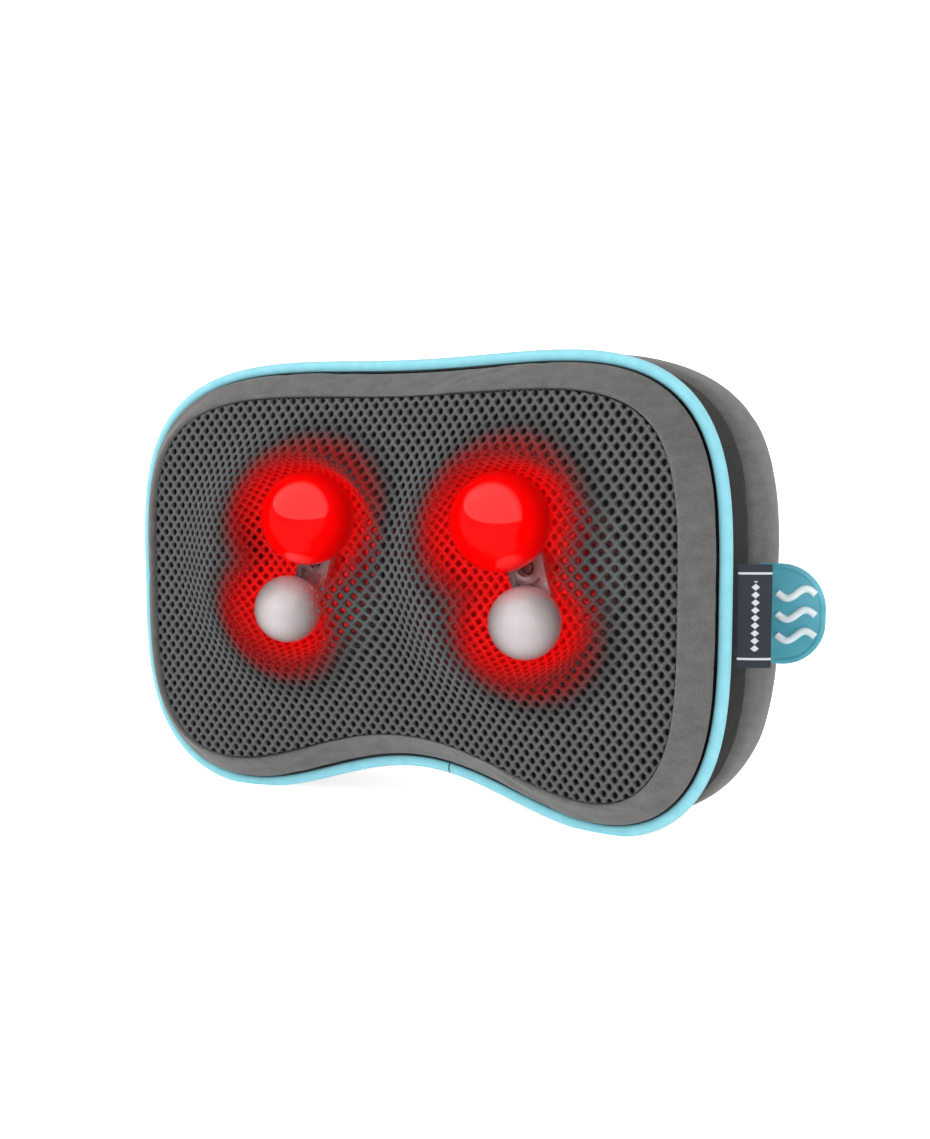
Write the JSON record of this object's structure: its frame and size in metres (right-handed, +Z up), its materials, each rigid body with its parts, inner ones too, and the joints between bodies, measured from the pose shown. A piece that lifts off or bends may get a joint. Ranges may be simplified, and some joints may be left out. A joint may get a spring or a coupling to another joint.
{
  "type": "shiatsu neck massager",
  "caption": "Bean-shaped shiatsu neck massage pillow: padded cover with piped mesh front, and counter-turning arms with heated and plain balls driven by worm gears.",
  "frame": {"origin": "middle of the flat back panel, on its outer face", "axes": "+X to the side with the label and the tab (the right seen from the front), +Y out of the back, +Z up as the pillow stands on its two lobes"},
  "size_m": [0.378, 0.1387, 0.2358],
  "materials": {
    "spacer_mesh": "charcoal knitted spacer mesh with staggered oval holes and a slight strand glint",
    "suede": "warm grey brushed micro-suede",
    "gusset_fabric": "dark charcoal textured knit",
    "piping": "smooth pale cyan piping",
    "foam": "charcoal open-cell foam",
    "label": "woven satin label, plain",
    "tab": "satin translucent soft plastic with a raised rim",
    "housing": "fine moulded texture",
    "steel": "bright zinc plated",
    "nylon": "natural nylon",
    "brass": "machined",
    "arm": "satin die casting",
    "heated_ball": "translucent red, lit from inside",
    "small_ball": "pearl white",
    "board": "solder resist",
    "control": "satin",
    "lamp": "clear red",
    "lead": "matt insulation"
  },
  "bodies": {
    "pillow": {"front_mesh_panel": "spacer_mesh", "front_border": "suede", "boxing_band": "suede", "rear_panel": "suede", "side_gusset": "gusset_fabric", "zip_tape": "gusset_fabric", "piping": "piping", "foam_surround": "foam", "rear_foam_pad": "foam", "side_label": "label", "pull_tab": "tab", "rear_housing": "housing", "front_housing": "housing", "housing_screw_1": "steel", "housing_screw_2": "steel", "housing_screw_3": "steel", "housing_screw_4": "steel", "motor": "steel", "motor_clamp": "nylon", "shaft_bush_left": "brass", "shaft_bush_right": "brass", "front_bush_left": "brass", "front_bush_right": "brass", "rear_bush_left": "brass", "rear_bush_right": "brass", "button_board": "board", "control_board": "board", "brush_block_left": "control", "brush_block_right": "control", "control_pod": "control", "dc_inlet": "control", "indicator_lens": "lamp", "inlet_lead": "lead", "button_lead": "lead", "motor_lead": "lead", "brush_lead_left": "lead", "brush_lead_right": "lead"},
    "right_rotor": {"rotor_arm_right": "arm", "arm_screw_right": "steel", "heater_board_right": "board", "slip_ring_right": "brass", "output_shaft_right": "steel", "worm_wheel_right": "nylon"},
    "left_rotor": {"rotor_arm_left": "arm", "arm_screw_left": "steel", "heater_board_left": "board", "slip_ring_left": "brass", "output_shaft_left": "steel", "worm_wheel_left": "nylon"},
    "right_heated_ball": {"heated_ball_right": "heated_ball"},
    "left_heated_ball": {"heated_ball_left": "heated_ball"},
    "right_small_ball": {"small_ball_right": "small_ball"},
    "left_small_ball": {"small_ball_left": "small_ball"},
    "motor_rotor": {"motor_shaft": "steel", "worm_left": "brass", "worm_right": "brass"},
    "power_button": {"power_button": "control"},
    "zip_slider": {"zip_slider": "steel"},
    "zip_puller": {"zip_puller": "steel"}
  },
  "joints": [
    {"name": "right_rotor_spin", "type": "hinge", "parent": "pillow", "child": "right_rotor", "pos_m": [0.0634, -0.05, 0.0113], "axis": [0, -1, 0], "continuous": true},
    {"name": "left_rotor_spin", "type": "hinge", "parent": "pillow", "child": "left_rotor", "pos_m": [-0.0634, -0.05, 0.0113], "axis": [0, -1, 0], "continuous": true},
    {"name": "motor_spin", "type": "hinge", "parent": "pillow", "child": "motor_rotor", "pos_m": [0, -0.045, -0.0172], "axis": [1, 0, 0], "continuous": true},
    {"name": "right_heated_ball_spin", "type": "hinge", "parent": "right_rotor", "child": "right_heated_ball", "pos_m": [0.05703, -0.104, 0.03444], "axis": [0, -1, 0], "continuous": true},
    {"name": "right_small_ball_spin", "type": "hinge", "parent": "right_rotor", "child": "right_small_ball", "pos_m": [0.07057, -0.104, -0.01473], "axis": [0, -1, 0], "continuous": true},
    {"name": "left_heated_ball_spin", "type": "hinge", "parent": "left_rotor", "child": "left_heated_ball", "pos_m": [-0.05703, -0.104, 0.03444], "axis": [0, -1, 0], "continuous": true},
    {"name": "left_small_ball_spin", "type": "hinge", "parent": "left_rotor", "child": "left_small_ball", "pos_m": [-0.07057, -0.104, -0.01473], "axis": [0, -1, 0], "continuous": true},
    {"name": "power_button_press", "type": "slide", "parent": "pillow", "child": "power_button", "axis": [1, 0, 0], "range_m": [0, 0.0015], "stiffness_N_per_m": 600},
    {"name": "zip_slider_travel", "type": "slide", "parent": "pillow", "child": "zip_slider", "axis": [1, 0, 0], "range_m": [0, 0.136]},
    {"name": "zip_puller_flip", "type": "hinge", "parent": "zip_slider", "child": "zip_puller", "pos_m": [-0.068, 0.0037, -0.058], "axis": [0, 0, 1], "range_deg": [0, 180]}
  ],
  "couplings": [
    {"joint": "left_rotor_spin", "follows": "right_rotor_spin", "ratio": -1},
    {"joint": "motor_spin", "follows": "right_rotor_spin", "ratio": -30}
  ]
}
